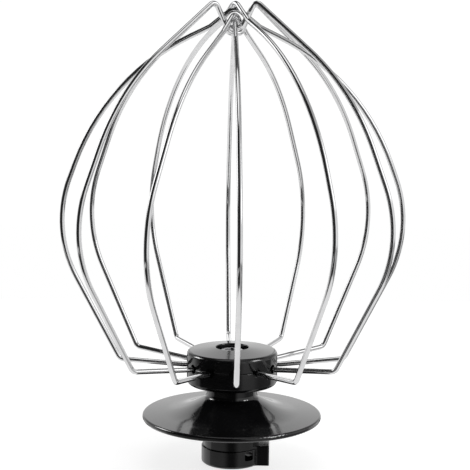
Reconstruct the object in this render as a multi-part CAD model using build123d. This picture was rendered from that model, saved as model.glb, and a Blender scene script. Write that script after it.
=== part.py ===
from build123d import *
import os
from math import cos, radians, tan

# A balloon whisk for a stand mixer, standing on its drive collar with the wire cage upwards.
# Millimetres. The axis is Z, the collar's resting ring is at Z 0 and the index lug points near +X.

EDGE_ROUND = 0.3

# Drive collar, with the socket for the mixer's shaft
COLLAR_R = 10.4
COLLAR_H = 6.2
COLLAR_ROUND = 1.0
COLLAR_STEP = 0.5
SOCKET_R = 6.0
SOCKET_DEPTH = 20.0
SOCKET_LEAD_IN = 0.6
WAIST_R = COLLAR_R - COLLAR_STEP

# Bayonet track inside the socket, with the window that the shaft's pin snaps into
TRACK_DEPTH = 2.3
TRACK_H = 3.0
TRACK_FLOOR = 2.7
TRACK_TURN = 60.0
PIN_SLOT_W = 3.2
WINDOW_W = 3.4
WINDOW_TURN = -56.0
WINDOW_ROUND = 0.6
TRACK_R = SOCKET_R + TRACK_DEPTH

# Index lug on the collar
LUG_TURN = -4.0
LUG_OUT = 2.8
LUG_W = 11.0
LUG_LIFT = 0.2
LUG_RISE = 0.9
LUG_BLEND = 2.6
LUG_ROUND = 0.6
LUG_REACH = COLLAR_R + LUG_OUT
LUG_H = COLLAR_H + LUG_RISE - LUG_LIFT

# Splash disc, near flat at the rim and steeper inside the knee of its section, and neck
DISC_R = 30.9
DISC_RIM_Z = 17.4
DISC_T = 1.8
DISC_ROUND = 0.7
RIM_SLOPE = 4.5
KNEE_R = 18.0
KNEE_BLEND = 26.0
FOOT_SLOPE = 28.0
NECK_R = 8.7
NECK_BLEND = 2.0
UNDER_BLEND = 2.0

# Drum that clamps the wires, split at the wires' level
DRUM_R = 15.6
DRUM_LIFT = 10.5
DRUM_LOWER_H = 6.7
DRUM_ROUND = 1.5
CAP_H = 4.9
CAP_RISE = 1.2
CAP_ROUND = 1.3
CAP_FLOOR_T = 3.0
DRUM_BOTTOM = DISC_RIM_Z + DRUM_LIFT
WIRE_Z = DRUM_BOTTOM + DRUM_LOWER_H
RECESS_FLOOR = WIRE_Z + CAP_FLOOR_T

# Cap screw and the room around it
SCREW_R = 2.0
SCREW_LENGTH = 13.0
SCREW_HEAD_R = 4.4
SCREW_HEAD_H = 2.1
SCREW_HEAD_ROUND = 1.0
SCREW_GAP = 0.1
SCREW_TIP_ROOM = 0.8
SCREW_TIP_CHAMFER = 0.5
DRIVE_W = 1.1
DRIVE_REACH = 5.0
DRIVE_DEPTH = 1.2
HEAD_ROOM = 1.2
HOLE_R = SCREW_R + SCREW_GAP
RECESS_R = SCREW_HEAD_R + HEAD_ROOM

# Wire, and its hooked seats in the drum
WIRE_D = 1.8
SEAT_GAP = 0.05
HOOK_R = 9.0
HOOK_DROP = 4.0
HOOK_BEND = 1.6
EXIT_RUN = 1.4
EXIT_BEND = 6.0
ENTRY_ROOM = 0.7
ENTRY_DEPTH = 0.9
SEAT_R = WIRE_D / 2 + SEAT_GAP
EXIT_R = DRUM_R + EXIT_RUN

# Cage: radius of a wire's widest corner, and height of its top corner above the wires' level
CAGE_R = 61.9
CAGE_H = 123.7
# Corners of a wire's side and the bend at each one, with heights from the wires' level
SPOKE_R = 38.6
SPOKE_RISE = 1.9
SPOKE_BEND = 2.5
BELLY_H = 46.8
BELLY_BEND = 42.0
# Crown of each kind of loop, as a radius and a drop from the loop's own top corner
HIGH_CROWN = (42.7, 23.2)
LOW_CROWN = (34.4, 23.7)
DIPPED_CROWN = (43.1, 28.9)
CROWN_BEND = 77.0
# Share of a straight run that the bends or rounds at its two ends may use up
RUN_SHARE = 0.98

# Tip, where the wires pass over each other
WIRE_GAP = 0.15
KINK_R = 8.3
KINK_BEND = 2.0
ARM_SLOPE = 39.0
APEX_BEND = 3.2
PEAK_R = 7.8
PEAK_DROP = 0.1
PEAK_BEND = 1.8
DIP_HALF = 2.4
DIP_ROOM = 1.0
DIP_BEND = 1.8
TIP_PITCH = WIRE_D + WIRE_GAP
# Turn and crown of each loop, from the top of the stack down; the dipped ones pass below the others
PEAKED_LOOPS = ((120, HIGH_CROWN), (0, HIGH_CROWN), (60, LOW_CROWN), (90, LOW_CROWN))
DIPPED_LOOPS = ((150, DIPPED_CROWN), (30, DIPPED_CROWN))
WIRE_ENTRIES = 2 * len(PEAKED_LOOPS + DIPPED_LOOPS)


def bent_path(corners, bends):
    """Straight runs in the XZ plane joined by tangent arcs, cut down where two would meet."""
    points = [Vector(x, 0, z) for x, z in corners]
    runs = [end - start for start, end in zip(points, points[1:])]
    turns = [radians(run.get_angle(following)) for run, following in zip(runs, runs[1:])]
    wanted = [0] + [bend * tan(turn / 2) for bend, turn in zip(bends, turns)] + [0]
    fits = [min(1, RUN_SHARE * run.length / (a + b)) for run, a, b in zip(runs, wanted, wanted[1:])]
    edges = []
    start = points[0]
    for i, turn in enumerate(turns):
        corner = points[i + 1]
        back = -runs[i].normalized()
        ahead = runs[i + 1].normalized()
        reach = wanted[i + 1] * min(fits[i], fits[i + 1])
        first = corner + back * reach
        last = corner + ahead * reach
        middle = corner + (back + ahead).normalized() * (reach * tan(turn / 4))
        edges.append(Line(start, first))
        edges.append(ThreePointArc(first, middle, last))
        start = last
    edges.append(Line(start, points[-1]))
    return Wire(edges)


def rod(path, radius):
    """A round bar along a path."""
    return sweep(Plane(path @ 0, z_dir=path % 0) * Circle(radius), path=path)


def peaked_tip(level):
    """Both sides kink upwards and meet in a peak on the axis."""
    apex = CAGE_H - level * TIP_PITCH
    kink = apex - KINK_R * tan(radians(ARM_SLOPE))
    return [(KINK_R, kink), (0, apex), (-KINK_R, kink)], [KINK_BEND, APEX_BEND, KINK_BEND]


def dipped_tip(level):
    """Both sides peak beside the axis and dip under the wires above."""
    peak = CAGE_H - PEAK_DROP
    dip = CAGE_H - level * TIP_PITCH - DIP_ROOM
    corners = [(PEAK_R, peak), (DIP_HALF, dip), (-DIP_HALF, dip), (-PEAK_R, peak)]
    return corners, [PEAK_BEND, DIP_BEND, DIP_BEND, PEAK_BEND]


def wire_loop(turn, crown, tip, tip_bends):
    """One bent wire: hook, spoke, cage side and tip, then the same mirrored."""
    crown_r, crown_drop = crown
    top = max(height for _, height in tip)
    side = [
        (HOOK_R, -HOOK_DROP),
        (HOOK_R, 0),
        (EXIT_R, 0),
        (SPOKE_R, SPOKE_RISE),
        (CAGE_R, BELLY_H),
        (crown_r, top - crown_drop),
    ]
    bends = [HOOK_BEND, EXIT_BEND, SPOKE_BEND, BELLY_BEND, CROWN_BEND]
    mirrored = [(-r, h) for r, h in reversed(side)]
    path = bent_path(side + tip + mirrored, bends + tip_bends + bends[::-1])
    return Pos(0, 0, WIRE_Z) * Rot(0, 0, turn) * rod(path, WIRE_D / 2)


def wire_seats():
    """Hooked channels for the wire ends, each with a wider mouth in the drum's side."""
    channel = rod(bent_path([(HOOK_R, -HOOK_DROP - SEAT_GAP), (HOOK_R, 0), (EXIT_R, 0)], [HOOK_BEND]), SEAT_R)
    mouth = Pos(DRUM_R, 0, 0) * Cylinder(WIRE_D / 2 + ENTRY_ROOM, 2 * ENTRY_DEPTH, rotation=(0, 90, 0))
    turns = [Rot(0, 0, 360 * i / WIRE_ENTRIES) for i in range(WIRE_ENTRIES)]
    return [Pos(0, 0, WIRE_Z) * turn * tool for turn in turns for tool in (channel, mouth)]


def turned(outline, rounds):
    """A solid of revolution from named (radius, height) corners, some of them rounded."""
    face = make_face(Polyline([(r, 0, z) for r, z in outline.values()], close=True))
    for name, size in rounds.items():
        r, z = outline[name]
        face = fillet(face.vertices().sort_by_distance(Vector(r, 0, z))[0], size)
    return revolve(face, Axis.Z)


def moulding():
    """Collar, waist, splash disc, neck and lower drum half in one turned shape."""
    knee = DISC_RIM_Z + (DISC_R - KNEE_R) * tan(radians(RIM_SLOPE))
    rim_run = (DISC_R - KNEE_R) / cos(radians(RIM_SLOPE)) - DISC_ROUND * tan(radians(45 + RIM_SLOPE / 2))
    foot_run = (KNEE_R - WAIST_R) / cos(radians(FOOT_SLOPE)) - UNDER_BLEND * tan(radians(45 + FOOT_SLOPE / 2))
    knee_room = RUN_SHARE * min(rim_run, foot_run)
    knee_blend = min(KNEE_BLEND, knee_room / tan(radians(FOOT_SLOPE - RIM_SLOPE) / 2))
    rise = tan(radians(FOOT_SLOPE))
    neck_foot = knee + (KNEE_R - NECK_R) * rise
    neck_room = RUN_SHARE * (DRUM_BOTTOM - neck_foot - EDGE_ROUND)
    outline = {
        "mouth": (SOCKET_R + SOCKET_LEAD_IN, 0),
        "collar_foot": (COLLAR_R, 0),
        "collar_top": (COLLAR_R, COLLAR_H),
        "waist": (WAIST_R, COLLAR_H),
        "disc_under": (WAIST_R, knee - DISC_T + (KNEE_R - WAIST_R) * rise),
        "knee_under": (KNEE_R, knee - DISC_T),
        "rim_low": (DISC_R, DISC_RIM_Z - DISC_T),
        "rim_high": (DISC_R, DISC_RIM_Z),
        "knee": (KNEE_R, knee),
        "neck_foot": (NECK_R, neck_foot),
        "neck_top": (NECK_R, DRUM_BOTTOM),
        "drum_foot": (DRUM_R, DRUM_BOTTOM),
        "parting": (DRUM_R, WIRE_Z),
        "centre_top": (0, WIRE_Z),
        "centre_roof": (0, SOCKET_DEPTH),
        "roof": (SOCKET_R, SOCKET_DEPTH),
        "lead_in": (SOCKET_R, SOCKET_LEAD_IN),
    }
    rounds = {
        "collar_foot": COLLAR_ROUND,
        "collar_top": EDGE_ROUND,
        "disc_under": UNDER_BLEND,
        "knee_under": knee_blend,
        "rim_low": DISC_ROUND,
        "rim_high": DISC_ROUND,
        "knee": knee_blend,
        "neck_foot": min(NECK_BLEND, neck_room / tan(radians(45 - FOOT_SLOPE / 2))),
        "neck_top": EDGE_ROUND,
        "drum_foot": DRUM_ROUND,
        "parting": EDGE_ROUND,
    }
    return turned(outline, rounds)


def index_lug():
    """Plan of the lug with hollow blends to the waist, raised to its height."""
    bar = Pos(LUG_REACH / 2, 0) * Rectangle(LUG_REACH, LUG_W)
    plan = Circle(WAIST_R) + bar
    plan = fillet(plan.vertices().sort_by(Axis.X)[-4:-2], LUG_BLEND)
    plan = fillet(plan.vertices().sort_by(Axis.X)[-2:], LUG_ROUND)
    lug = extrude(plan - Circle(SOCKET_R), LUG_H)
    top = lug.edges().group_by(Axis.Z)[-1].filter_by(lambda edge: (edge @ 0.5).X > WAIST_R)
    return Pos(0, 0, LUG_LIFT) * Rot(0, 0, LUG_TURN) * fillet(top, EDGE_ROUND)


def bayonet_cuts():
    """Entry slot, turning track and snap window for the pin of the drive shaft."""
    middle = TRACK_FLOOR + TRACK_H / 2
    slot_h = TRACK_FLOOR + TRACK_H
    slot = Pos(TRACK_R / 2, 0, slot_h / 2) * Box(TRACK_R, PIN_SLOT_W, slot_h)
    track = revolve(Plane.XZ * Pos(TRACK_R / 2, middle) * Rectangle(TRACK_R, TRACK_H), Axis.Z, TRACK_TURN)
    window = Box(COLLAR_R, WINDOW_W, TRACK_H)
    window = Pos(COLLAR_R, 0, middle) * fillet(window.edges().filter_by(Axis.X), WINDOW_ROUND)
    start = Rot(0, 0, WINDOW_TURN - TRACK_TURN)
    return [start * slot, start * track, Rot(0, 0, WINDOW_TURN) * window]


def hub_body():
    """Collar, disc and lower drum half, with wire seats, screw hole and bayonet."""
    hole_depth = SCREW_LENGTH - CAP_FLOOR_T + SCREW_TIP_ROOM
    hole = Pos(0, 0, WIRE_Z - hole_depth / 2) * Cylinder(HOLE_R, hole_depth)
    return moulding() + index_lug() - [hole] - wire_seats() - bayonet_cuts()


def hub_cap():
    """Upper drum half with a coned top and the screw's recess."""
    outline = {
        "hole_low": (HOLE_R, WIRE_Z),
        "parting": (DRUM_R, WIRE_Z),
        "rim": (DRUM_R, WIRE_Z + CAP_H),
        "crown": (RECESS_R, WIRE_Z + CAP_H + CAP_RISE),
        "floor": (RECESS_R, RECESS_FLOOR),
        "hole_high": (HOLE_R, RECESS_FLOOR),
    }
    rounds = {"parting": EDGE_ROUND, "rim": CAP_ROUND, "crown": EDGE_ROUND}
    return turned(outline, rounds) - wire_seats()


def cap_screw():
    """Pan-head screw with a cross recess, seated on the recess floor."""
    head = Cylinder(SCREW_HEAD_R, SCREW_HEAD_H, align=(Align.CENTER, Align.CENTER, Align.MIN))
    head = fillet(head.edges().sort_by(Axis.Z)[-1], SCREW_HEAD_ROUND)
    bar = Pos(0, 0, SCREW_HEAD_H - DRIVE_DEPTH / 2) * Box(DRIVE_REACH, DRIVE_W, DRIVE_DEPTH)
    shank = Cylinder(SCREW_R, SCREW_LENGTH, align=(Align.CENTER, Align.CENTER, Align.MAX))
    shank = chamfer(shank.edges().sort_by(Axis.Z)[0], SCREW_TIP_CHAMFER)
    return Pos(0, 0, RECESS_FLOOR) * (head + shank - [bar, Rot(0, 0, 90) * bar])


os.makedirs("parts", exist_ok=True)
export_step(hub_body(), "parts/hub_body.step")
export_step(hub_cap(), "parts/hub_cap.step")
export_step(cap_screw(), "parts/cap_screw.step")
for level, (turn, crown) in enumerate(PEAKED_LOOPS + DIPPED_LOOPS):
    tip = peaked_tip(level) if level < len(PEAKED_LOOPS) else dipped_tip(level)
    export_step(wire_loop(turn, crown, *tip), f"parts/wire_loop_{level + 1}.step")
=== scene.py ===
import math

import bpy
from mathutils import Matrix, Vector


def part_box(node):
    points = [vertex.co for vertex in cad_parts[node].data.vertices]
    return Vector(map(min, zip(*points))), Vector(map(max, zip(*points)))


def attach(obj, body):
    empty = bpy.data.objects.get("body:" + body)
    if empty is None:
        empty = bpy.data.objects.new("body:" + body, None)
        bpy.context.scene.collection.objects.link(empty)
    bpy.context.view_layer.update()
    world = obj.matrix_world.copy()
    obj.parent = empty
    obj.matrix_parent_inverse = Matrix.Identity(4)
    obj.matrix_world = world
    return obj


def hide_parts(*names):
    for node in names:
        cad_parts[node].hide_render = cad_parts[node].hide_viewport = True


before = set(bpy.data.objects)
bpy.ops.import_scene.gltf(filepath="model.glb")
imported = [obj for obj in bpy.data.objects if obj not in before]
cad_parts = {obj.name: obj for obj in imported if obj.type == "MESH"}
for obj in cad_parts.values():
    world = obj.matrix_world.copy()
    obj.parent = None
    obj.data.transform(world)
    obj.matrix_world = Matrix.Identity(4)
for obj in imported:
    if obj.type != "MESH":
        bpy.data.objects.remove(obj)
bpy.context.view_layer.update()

# The photograph's camera: metres and degrees, measured from the collar's resting ring
PHOTO_SIZE = 470
CAMERA_DISTANCE = 0.440
CAMERA_HEIGHT = 0.140
CAMERA_AZIMUTH = -2.1
CAMERA_PITCH = 7.82
CAMERA_ROLL = 0.5
FOCAL_PIXELS = 1303.0
PRINCIPAL_X = 233.2
SENSOR_MM = 36.0
CLIP_NEAR = 0.01
CLIP_FAR = 20.0

# Directions from the object: towards the camera, to the camera's right, and up
TURN = math.radians(CAMERA_AZIMUTH)
FRONT = Vector((math.sin(TURN), -math.cos(TURN), 0))
RIGHT = Vector((math.cos(TURN), math.sin(TURN), 0))
UP = Vector((0, 0, 1))

# The floor reaches further to the sides and the back than to the camera
FLOOR_FRONT = 0.145
FLOOR_BACK = 0.30
FLOOR_SIDE = 0.30
FLOOR_TONE = (0.6, 0.6, 0.6, 1)
# Light that only the camera sees, so that the floor is as white as what is around it
FLOOR_LIFT = 0.75
WHITE = (1, 1, 1, 1)

# Lamps in metres and watts, placed along right, front and up, and aimed at one height on the axis
AIM_HEIGHT = 0.06
LAMP_PLACES = {"left": (-0.78, -0.22, 0.46), "right": (0.75, 0.29, 0.50)}
LAMP_SIZE = 0.42
LAMP_POWER = 0.7
# A smaller lamp in front of each one lights the hub alone, for its sharp glints
GLINT_NEARER = 0.3
GLINT_SIZE = 0.22
GLINT_POWER = 1.9

# Light around the object, as its gloss mirrors it. A pair is a soft edge: to the sides it is a bearing in
# radians from the front, positive to the right, and up or down the sine of the angle above the horizon
ROOM_LIGHT = 0.025
BACK_LEFT_END = (-1.98, -1.56)
BACK_LEFT_TOP = (0.52, 0.62)
BACK_LEFT_REST = 0.05
BACK_RIGHT_TOP = (0.64, 0.74)
BACK_RIGHT_REST = 0.08
BACK_MIDDLE = (2.55, 2.8)
GAP_FOOT = (-0.5, -0.4)
GAP_TOP = (-0.2, -0.12)
GAP_DEPTH = 0.95
SKY_LEVEL = (0.05, 0.2)
SKY_CHANGE = -0.4
SKY_MIDDLE_GAIN = 0.65
LEFT_FAR_END = (-2.4, -2.2)
LEFT_NEAR_END = (-1.62, -1.5)
LEFT_FOOT = (0.22, 0.32)
LEFT_TOP = (0.6, 0.68)
LEFT_LOW_TOP = (-0.3, -0.2)
RIGHT_NEAR_END = (0.22, 0.56)
RIGHT_FAR_END = (1.95, 2.1)
RIGHT_FADE = (0.6, 1.2)
RIGHT_FADE_LIGHT = (1.05, 0.85)
RIGHT_TOP = (0.5, 0.66)
RIGHT_TOP_LIGHT = 0.5
RIGHT_FOOT = (-0.235, -0.2)
RIGHT_FOOT_LIGHT = 0.5
SHADE_START = (0.9, 1.3)
SHADE_TOP = (-0.22, -0.16)
SHADE_DEPTH = 0.6
GROUND_TOP = (-0.60, -0.52)
GROUND_LIGHT = 0.95
GROUND_LEFT_TOP = (-0.45, -0.35)
GROUND_LEFT_END = (-1.3, -1.15)
STRIP_FOOT = (-0.35, -0.33)
STRIP_TOP = (-0.285, -0.27)
STRIP_SIDE = (0.1, 0.6)
STRIP_LIGHT = (0.08, 0.5)
# The edges of the box overhead are measured along up, right and front
OVERHEAD_LEVEL = (0.905, 0.945)
OVERHEAD_LEFT_END = (-0.42, -0.30)
OVERHEAD_RIGHT_END = (0.56, 0.66)
OVERHEAD_BACK_END = (-0.3, -0.2)
OVERHEAD_FADE = (0.10, 0.30)
OVERHEAD_FADE_LIGHT = (1.3, 0.6)

# CAD nodes that stay as they are, with a new finish
HUB_NODES = ("hub_body", "hub_cap")
SCREW_NODES = ("cap_screw",)

# Finishes: colours and roughness run between two values as their pattern crosses its spread
NOISE_SPREAD = (0.3, 0.7)
RING_SPREAD = (0.2, 0.8)
PLASTIC_COLOURS = ((0.003, 0.003, 0.0033), (0.005, 0.005, 0.0054))
PLASTIC_ROUGHNESS = (0.07, 0.12)
PLASTIC_IOR = 1.5
WIRE_COLOURS = ((0.66, 0.66, 0.665), (0.74, 0.74, 0.745))
WIRE_ROUGHNESS = (0.06, 0.13)
SCREW_COLOURS = ((0.30, 0.30, 0.31), (0.42, 0.42, 0.43))
SCREW_ROUGHNESS = (0.22, 0.34)
FULL_METAL = 1.0
# Pattern scales per metre, and bumps as (strength, distance in metres)
CLOUD_SCALE = 90.0
GRAIN_SCALE = 2600.0
HAZE_SCALE = 220.0
MARK_SCALE = 5200.0
RING_SCALE = 900.0
RING_DISTORTION = 1.5
BROAD_DETAIL = 3.0
FINE_DETAIL = 2.0
PLASTIC_BUMP = (0.03, 0.00002)
WIRE_BUMP = (0.05, 0.00001)
SCREW_BUMP = (0.15, 0.00002)

# Wire routes in metres, bent as the solids are: corners as (radius, height) from the drum's parting level
WIRE_RADIUS = 0.0009
WIRE_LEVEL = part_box("hub_cap")[0].z
BEVEL_STEPS = 8
BEND_STEPS = 14
SIDE_CORNERS = ((0.009, -0.004), (0.009, 0), (0.017, 0), (0.0386, 0.0019), (0.0619, 0.0468))
SIDE_BENDS = (0.0016, 0.006, 0.0025, 0.042, 0.077)
TOP_HEIGHT = 0.1237
# Crown corners as (radius, drop from the loop's own top corner)
HIGH_CROWN = (0.0427, 0.0232)
LOW_CROWN = (0.0344, 0.0237)
DIPPED_CROWN = (0.0431, 0.0289)
# The most of a run that the arcs at its ends take up, and where the handles of a straight run stand
RUN_SHARE = 0.98
HANDLE_SHARE = 1 / 3
# The loops cross at the tip a pitch apart: a peaked loop kinks up to its apex, a dipped one passes below
TIP_PITCH = 0.00195
KINK_RADIUS = 0.0083
KINK_BEND = 0.002
ARM_SLOPE = 39.0
APEX_BEND = 0.0032
PEAK_RADIUS = 0.0078
PEAK_DROP = 0.0001
DIP_HALF = 0.0024
DIP_ROOM = 0.001
DIP_BEND = 0.0018
# Loops as (turn about the axis in degrees, crown), from the top one at the tip to the lowest
PEAKED_LOOPS = ((120, HIGH_CROWN), (0, HIGH_CROWN), (60, LOW_CROWN), (90, LOW_CROWN))
DIPPED_LOOPS = ((150, DIPPED_CROWN), (30, DIPPED_CROWN))


class Nodes:
    """Short ways to add and link shader nodes in one tree."""

    def __init__(self, tree):
        self.tree = tree
        tree.nodes.clear()

    def add(self, kind, inputs=None, **settings):
        node = self.tree.nodes.new(kind)
        for name, value in settings.items():
            setattr(node, name, value)
        for name, value in (inputs or {}).items():
            self.feed(node.inputs[name], value)
        return node

    def feed(self, socket, value):
        if isinstance(value, bpy.types.NodeSocket):
            self.tree.links.new(value, socket)
        else:
            socket.default_value = value

    def calc(self, operation, first, second=0.0, third=0.0):
        inputs = {0: first, 1: second, 2: third}
        return self.add("ShaderNodeMath", inputs, operation=operation).outputs[0]

    def chain(self, operation, *values):
        """The same operation over all values, two at a time."""
        total = values[0]
        for value in values[1:]:
            total = self.calc(operation, total, value)
        return total

    def rise(self, value, edge, start=0.0, end=1.0):
        """A smooth change from start to end as the value crosses the edge."""
        low, high = edge
        inputs = {"Value": value, "From Min": low, "From Max": high, "To Min": start, "To Max": end}
        return self.add("ShaderNodeMapRange", inputs, interpolation_type="SMOOTHSTEP").outputs["Result"]

    def fall(self, value, edge, start=1.0, end=0.0):
        return self.rise(value, edge, start, end)

    def dot(self, vector, direction):
        inputs = {0: vector, 1: direction}
        return self.add("ShaderNodeVectorMath", inputs, operation="DOT_PRODUCT").outputs["Value"]

    def noise(self, vector, scale, detail):
        inputs = {"Vector": vector, "Scale": scale, "Detail": detail}
        return self.add("ShaderNodeTexNoise", inputs).outputs["Fac"]

    def ramp(self, value, spread, colours):
        node = self.add("ShaderNodeValToRGB", {"Fac": value})
        for element, position, colour in zip(node.color_ramp.elements, spread, colours):
            element.position = position
            element.color = (*colour, 1)
        return node.outputs["Color"]

    def surface(self, tone, spread, colours, roughness, relief, bump, **constants):
        """Principled surface with colour and roughness from one pattern and bump from another."""
        strength, distance = bump
        bumps = self.add("ShaderNodeBump", {"Height": relief, "Strength": strength, "Distance": distance})
        shader = self.add("ShaderNodeBsdfPrincipled", {
            "Base Color": self.ramp(tone, spread, colours),
            "Roughness": self.rise(tone, spread, *roughness),
            "Normal": bumps.outputs["Normal"],
            **constants,
        })
        self.add("ShaderNodeOutputMaterial", {"Surface": shader.outputs["BSDF"]})


def new_material(name):
    material = bpy.data.materials.new(name)
    material.use_nodes = True
    return material, Nodes(material.node_tree)


def black_plastic():
    """Glossy black moulding: slightly clouded gloss and very faint flow marks."""
    material, n = new_material("black_moulded_plastic")
    place = n.add("ShaderNodeTexCoord").outputs["Object"]
    clouds = n.noise(place, CLOUD_SCALE, BROAD_DETAIL)
    grain = n.noise(place, GRAIN_SCALE, FINE_DETAIL)
    n.surface(clouds, NOISE_SPREAD, PLASTIC_COLOURS, PLASTIC_ROUGHNESS, grain, PLASTIC_BUMP, IOR=PLASTIC_IOR)
    return material


def polished_wire():
    """Polished stainless wire with faint drawn marks and handling haze."""
    material, n = new_material("polished_steel_wire")
    place = n.add("ShaderNodeTexCoord").outputs["Object"]
    haze = n.noise(place, HAZE_SCALE, BROAD_DETAIL)
    marks = n.noise(place, MARK_SCALE, FINE_DETAIL)
    n.surface(haze, NOISE_SPREAD, WIRE_COLOURS, WIRE_ROUGHNESS, marks, WIRE_BUMP, Metallic=FULL_METAL)
    return material


def screw_steel():
    """Plated screw with turned rings on its head."""
    material, n = new_material("plated_screw_steel")
    place = n.add("ShaderNodeTexCoord").outputs["Object"]
    inputs = {"Vector": place, "Scale": RING_SCALE, "Distortion": RING_DISTORTION, "Detail": FINE_DETAIL}
    rings = n.add("ShaderNodeTexWave", inputs, wave_type="RINGS", rings_direction="Z").outputs["Fac"]
    n.surface(rings, RING_SPREAD, SCREW_COLOURS, SCREW_ROUGHNESS, rings, SCREW_BUMP, Metallic=FULL_METAL)
    return material


def peaked_tip(level):
    """Both sides kink upwards and meet in a peak on the axis."""
    apex = TOP_HEIGHT - level * TIP_PITCH
    kink = apex - KINK_RADIUS * math.tan(math.radians(ARM_SLOPE))
    return [(KINK_RADIUS, kink), (0, apex), (-KINK_RADIUS, kink)], [KINK_BEND, APEX_BEND, KINK_BEND]


def dipped_tip(level):
    """Both sides peak beside the axis and dip under the wires above."""
    peak = TOP_HEIGHT - PEAK_DROP
    dip = TOP_HEIGHT - level * TIP_PITCH - DIP_ROOM
    corners = [(PEAK_RADIUS, peak), (DIP_HALF, dip), (-DIP_HALF, dip), (-PEAK_RADIUS, peak)]
    return corners, [DIP_BEND] * len(corners)


def rounded_route(corners, bends):
    """Points and handles of a Bezier curve: straight runs with an arc at each corner.

    Arcs that would meet on a run are cut down to fit it.
    """
    points = [Vector((radius, 0, height)) for radius, height in corners]
    runs = [end - start for start, end in zip(points, points[1:])]
    turns = [run.angle(following) for run, following in zip(runs, runs[1:])]
    wanted = [0] + [bend * math.tan(turn / 2) for bend, turn in zip(bends, turns)] + [0]
    fits = [min(1, RUN_SHARE * run.length / (a + b)) for run, a, b in zip(runs, wanted, wanted[1:])]
    route = [(points[0], None, None)]
    for i, turn in enumerate(turns):
        corner = points[i + 1]
        reach = wanted[i + 1] * min(fits[i], fits[i + 1])
        # The share of the way to the corner at which a handle makes the curve follow a round arc
        pull = 4 / 3 * math.tan(turn / 4) / math.tan(turn / 2)
        first = corner - runs[i].normalized() * reach
        last = corner + runs[i + 1].normalized() * reach
        route.append((first, None, first.lerp(corner, pull)))
        route.append((last, last.lerp(corner, pull), None))
    route.append((points[-1], None, None))
    return route


def wire_piece(name, turn, crown, tip, material):
    """One loop as a finely rounded tube in the place of its solid."""
    tip_corners, tip_bends = tip
    crown_radius, crown_drop = crown
    top = max(height for _, height in tip_corners)
    side = [*SIDE_CORNERS, (crown_radius, top - crown_drop)]
    mirrored = [(-radius, height) for radius, height in reversed(side)]
    route = rounded_route(side + tip_corners + mirrored, [*SIDE_BENDS, *tip_bends, *reversed(SIDE_BENDS)])
    curve = bpy.data.curves.new(name + "_tube", "CURVE")
    curve.dimensions = "3D"
    curve.bevel_depth = WIRE_RADIUS
    curve.bevel_resolution = BEVEL_STEPS
    curve.use_fill_caps = True
    spline = curve.splines.new("BEZIER")
    spline.resolution_u = BEND_STEPS
    spline.bezier_points.add(len(route) - 1)
    ends = [route[0], *route, route[-1]]
    for point, before, (place, left, right), after in zip(spline.bezier_points, ends, route, ends[2:]):
        point.handle_left_type = point.handle_right_type = "FREE"
        point.co = place
        point.handle_left = left or place.lerp(before[0], HANDLE_SHARE)
        point.handle_right = right or place.lerp(after[0], HANDLE_SHARE)
    curve.materials.append(material)
    piece = bpy.data.objects.new(name + "_tube", curve)
    piece.matrix_world = Matrix.Translation((0, 0, WIRE_LEVEL)) @ Matrix.Rotation(math.radians(turn), 4, "Z")
    bpy.context.scene.collection.objects.link(piece)
    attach(piece, "root")
    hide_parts(name)


def make_wires():
    material = polished_wire()
    for level, (turn, crown) in enumerate(PEAKED_LOOPS + DIPPED_LOOPS):
        tip = peaked_tip(level) if level < len(PEAKED_LOOPS) else dipped_tip(level)
        wire_piece(f"wire_loop_{level + 1}", turn, crown, tip, material)


def dress(names, material):
    for name in names:
        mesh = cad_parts[name].data
        mesh.materials.clear()
        mesh.materials.append(material)


def floor_material():
    """Pale floor that keeps the shadow. Mirrored rays and rays from below go through it."""
    material, n = new_material("pale_floor")
    path = n.add("ShaderNodeLightPath").outputs
    lift = n.calc("MULTIPLY", path["Is Camera Ray"], FLOOR_LIFT)
    diffuse = n.add("ShaderNodeBsdfDiffuse", {"Color": FLOOR_TONE})
    glow = n.add("ShaderNodeEmission", {"Color": WHITE, "Strength": lift})
    pale = n.add("ShaderNodeAddShader", {0: diffuse.outputs[0], 1: glow.outputs[0]})
    below = n.add("ShaderNodeNewGeometry").outputs["Backfacing"]
    unseen = n.calc("MAXIMUM", below, path["Is Glossy Ray"])
    clear = n.add("ShaderNodeBsdfTransparent")
    mixed = n.add("ShaderNodeMixShader", {0: unseen, 1: pale.outputs[0], 2: clear.outputs[0]})
    n.add("ShaderNodeOutputMaterial", {"Surface": mixed.outputs[0]})
    return material


def make_floor():
    mesh = bpy.data.meshes.new("floor")
    front, back, side = FRONT * FLOOR_FRONT, FRONT * -FLOOR_BACK, RIGHT * FLOOR_SIDE
    mesh.from_pydata([front - side, front + side, back + side, back - side], [], [(0, 1, 2, 3)])
    mesh.materials.append(floor_material())
    floor = bpy.data.objects.new("floor", mesh)
    bpy.context.scene.collection.objects.link(floor)


def backdrop_light(n, bearing, up):
    """White wall behind: dark above its top, its middle brighter high up and dark in a gap low down."""
    left_height = n.fall(up, BACK_LEFT_TOP, end=BACK_LEFT_REST)
    left_part = n.calc("MULTIPLY", n.fall(bearing, BACK_LEFT_END), left_height)
    right_height = n.fall(up, BACK_RIGHT_TOP, end=BACK_RIGHT_REST)
    right_part = n.calc("MULTIPLY", n.rise(bearing, RIGHT_FAR_END), right_height)
    middle = n.rise(n.calc("ABSOLUTE", bearing), BACK_MIDDLE)
    gap = n.chain("MULTIPLY", middle, n.fall(up, GAP_TOP, start=GAP_DEPTH), n.rise(up, GAP_FOOT))
    sky_change = n.calc("MULTIPLY_ADD", middle, SKY_MIDDLE_GAIN, SKY_CHANGE)
    sky = n.calc("MULTIPLY", n.rise(up, SKY_LEVEL), sky_change)
    return n.chain(
        "MULTIPLY",
        n.calc("ADD", left_part, right_part),
        n.calc("ADD", sky, 1.0),
        n.calc("SUBTRACT", 1.0, gap),
    )


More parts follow.
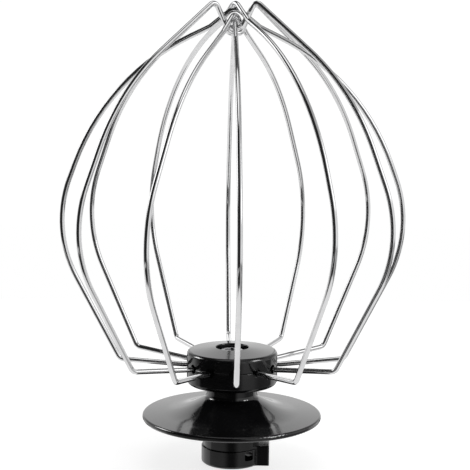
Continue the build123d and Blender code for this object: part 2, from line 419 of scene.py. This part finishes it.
def left_light(n, bearing, up):
    """Two panels on the left, one above the horizon and one below."""
    upper = n.calc("MULTIPLY", n.rise(up, LEFT_FOOT), n.fall(up, LEFT_TOP))
    heights = n.calc("ADD", upper, n.fall(up, LEFT_LOW_TOP))
    return n.chain("MULTIPLY", n.fall(bearing, LEFT_NEAR_END), n.rise(bearing, LEFT_FAR_END), heights)


def right_light(n, bearing, up):
    """Tall box on the right: weaker to the back, at its top and at its foot, and shaded low down behind."""
    shade = n.calc("MULTIPLY", n.fall(up, SHADE_TOP, start=SHADE_DEPTH), n.rise(bearing, SHADE_START))
    return n.chain(
        "MULTIPLY",
        n.rise(bearing, RIGHT_NEAR_END),
        n.fall(bearing, RIGHT_FAR_END),
        n.fall(bearing, RIGHT_FADE, *RIGHT_FADE_LIGHT),
        n.fall(up, RIGHT_TOP, end=RIGHT_TOP_LIGHT),
        n.rise(up, RIGHT_FOOT, start=RIGHT_FOOT_LIGHT),
        n.calc("SUBTRACT", 1.0, shade),
    )


def overhead_light(n, right, front, up):
    """Box overhead, brighter on its left."""
    return n.chain(
        "MULTIPLY",
        n.rise(up, OVERHEAD_LEVEL),
        n.rise(right, OVERHEAD_LEFT_END),
        n.fall(right, OVERHEAD_FADE, *OVERHEAD_FADE_LIGHT),
        n.fall(right, OVERHEAD_RIGHT_END),
        n.rise(front, OVERHEAD_BACK_END),
    )


def ground_light(n, bearing, up):
    """Pale ground that comes nearer to the horizon on the left, and a dim strip of it, darkest in front."""
    ground = n.fall(up, GROUND_TOP, start=GROUND_LIGHT)
    left_height = n.fall(up, GROUND_LEFT_TOP, start=GROUND_LIGHT)
    left_ground = n.calc("MULTIPLY", left_height, n.fall(bearing, GROUND_LEFT_END))
    strip = n.chain(
        "MULTIPLY",
        n.rise(up, STRIP_FOOT),
        n.fall(up, STRIP_TOP),
        n.rise(n.calc("ABSOLUTE", bearing), STRIP_SIDE, *STRIP_LIGHT),
    )
    return n.chain("MAXIMUM", ground, left_ground, strip)


def make_world():
    """White for the camera. In reflections, panels of light around a dark front."""
    world = bpy.data.worlds.new("studio")
    world.use_nodes = True
    bpy.context.scene.world = world
    n = Nodes(world.node_tree)
    ray = n.add("ShaderNodeTexCoord").outputs["Generated"]
    right = n.dot(ray, RIGHT)
    front = n.dot(ray, FRONT)
    up = n.dot(ray, UP)
    bearing = n.calc("ARCTAN2", right, front)
    panels = n.chain(
        "MAXIMUM",
        backdrop_light(n, bearing, up),
        left_light(n, bearing, up),
        right_light(n, bearing, up),
        overhead_light(n, right, front, up),
        ground_light(n, bearing, up),
    )
    light = n.calc("ADD", panels, ROOM_LIGHT)
    is_camera = n.add("ShaderNodeLightPath").outputs["Is Camera Ray"]
    strength = n.calc("MAXIMUM", light, is_camera)
    background = n.add("ShaderNodeBackground", {"Color": WHITE, "Strength": strength})
    n.add("ShaderNodeOutputWorld", {"Surface": background.outputs[0]})


def area_light(name, place, aim, size, power):
    light = bpy.data.lights.new(name, "AREA")
    light.shape = "SQUARE"
    light.size = size
    light.energy = power
    lamp = bpy.data.objects.new(name, light)
    lamp.location = place
    lamp.rotation_euler = (aim - place).to_track_quat("-Z", "Y").to_euler()
    bpy.context.scene.collection.objects.link(lamp)
    return lamp


def make_lamps():
    """A soft lamp on each side, and a glint lamp in front of it for the hub alone."""
    hub = bpy.data.collections.new("glint_receivers")
    for name in HUB_NODES:
        hub.objects.link(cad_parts[name])
    aim = UP * AIM_HEIGHT
    for side, (right, front, height) in LAMP_PLACES.items():
        place = RIGHT * right + FRONT * front + UP * height
        area_light(side + "_lamp", place, aim, LAMP_SIZE, LAMP_POWER)
        glint = area_light(side + "_glint", place.lerp(aim, GLINT_NEARER), aim, GLINT_SIZE, GLINT_POWER)
        glint.light_linking.receiver_collection = hub


def make_camera():
    data = bpy.data.cameras.new("camera")
    data.sensor_width = SENSOR_MM
    data.lens = SENSOR_MM * FOCAL_PIXELS / PHOTO_SIZE
    data.shift_x = (PHOTO_SIZE / 2 - PRINCIPAL_X) / PHOTO_SIZE
    data.clip_start = CLIP_NEAR
    data.clip_end = CLIP_FAR
    pitch, roll = math.radians(CAMERA_PITCH), math.radians(CAMERA_ROLL)
    ahead = -FRONT * math.cos(pitch) - UP * math.sin(pitch)
    level_up = RIGHT.cross(ahead)
    across = RIGHT * math.cos(roll) + level_up * math.sin(roll)
    upright = level_up * math.cos(roll) - RIGHT * math.sin(roll)
    place = FRONT * CAMERA_DISTANCE + UP * CAMERA_HEIGHT
    camera = bpy.data.objects.new("camera", data)
    camera.matrix_world = Matrix.Translation(place) @ Matrix((across, upright, -ahead)).transposed().to_4x4()
    bpy.context.scene.collection.objects.link(camera)
    bpy.context.scene.camera = camera


bpy.context.scene.view_settings.view_transform = "Standard"
dress(HUB_NODES, black_plastic())
dress(SCREW_NODES, screw_steel())
make_wires()
make_floor()
make_world()
make_camera()
make_lamps()
